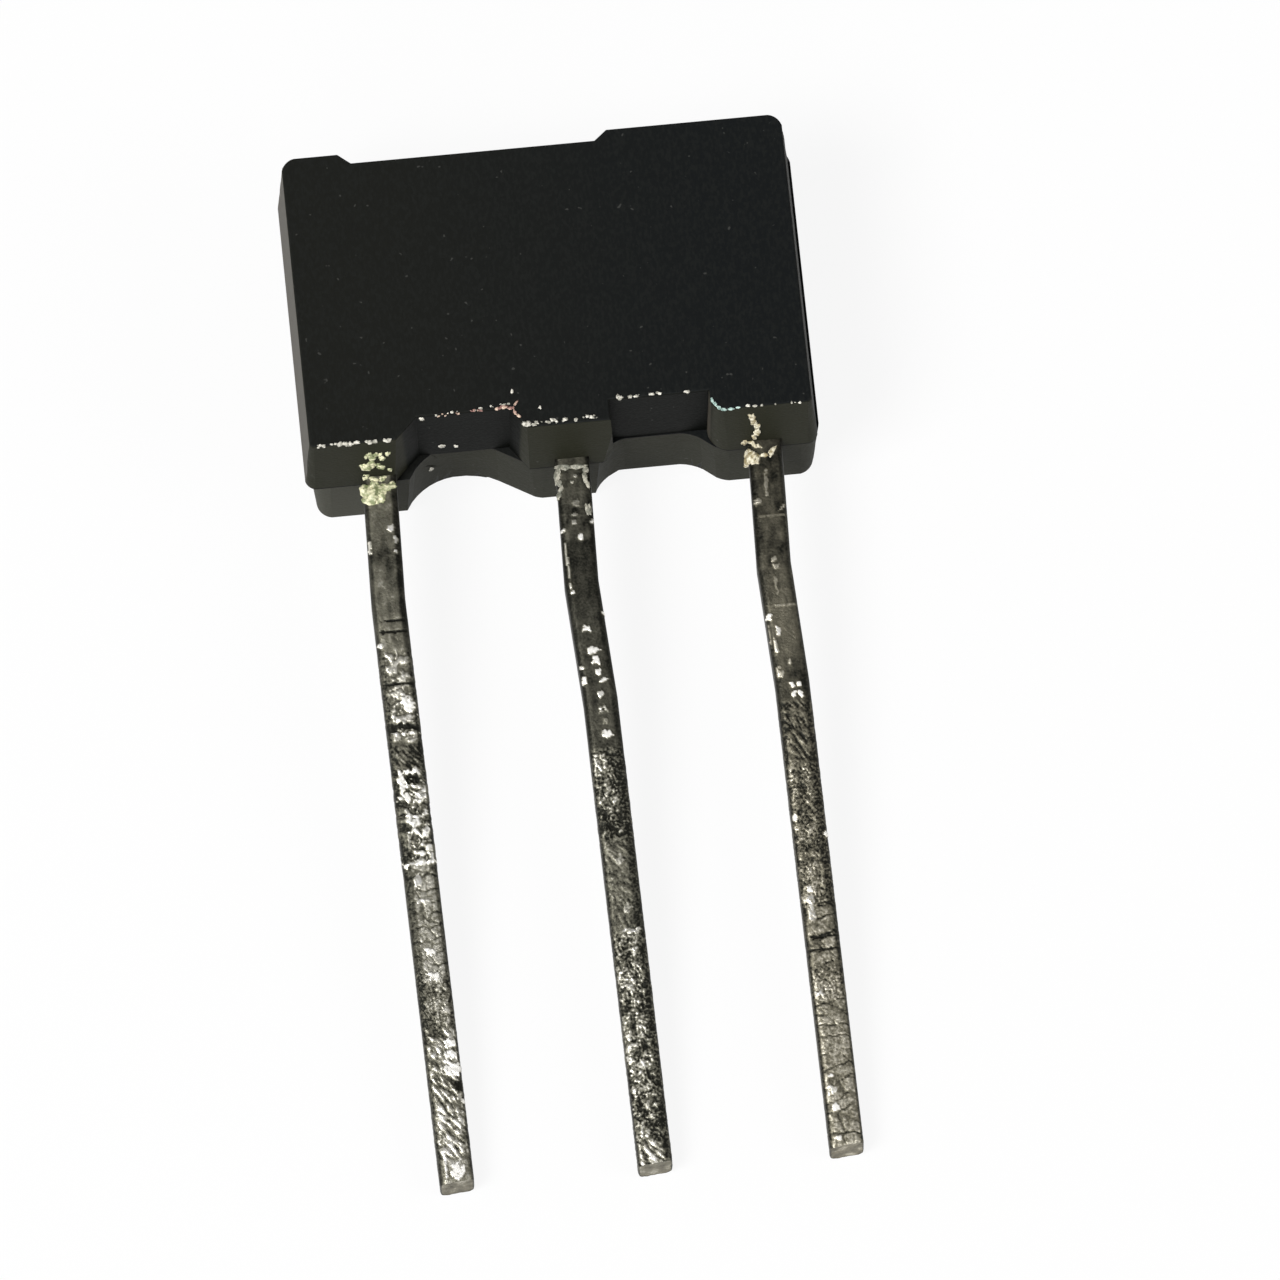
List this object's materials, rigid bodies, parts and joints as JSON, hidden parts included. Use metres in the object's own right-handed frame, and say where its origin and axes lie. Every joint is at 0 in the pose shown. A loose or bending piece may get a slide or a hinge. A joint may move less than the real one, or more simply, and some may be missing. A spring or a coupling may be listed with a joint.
{
  "type": "pnp transistor",
  "caption": "Small flat moulded transistor lying on its back, with square leads that leave one long side and dip to the surface.",
  "frame": {"origin": "on the back face, which lies on the surface below, in the middle of the front half's outline", "axes": "+X across the body from the emitter lead to the base lead, +Y from the leads to the top of the body, +Z from the back face to the front face"},
  "size_m": [0.0068, 0.0138, 0.0025],
  "materials": {
    "epoxy": "matte black moulded epoxy with a fine grain",
    "tinned_lead": "copper alloy with crinkled, oxidised tin plating",
    "silicon": "polished dark grey",
    "die_solder": "dull silver grey",
    "gold_wire": "bright gold"
  },
  "bodies": {
    "root": {"epoxy_body": "epoxy", "emitter_lead": "tinned_lead", "collector_lead": "tinned_lead", "base_lead": "tinned_lead", "silicon_die": "silicon", "die_solder": "die_solder", "emitter_wire": "gold_wire", "base_wire": "gold_wire"}
  },
  "joints": []
}
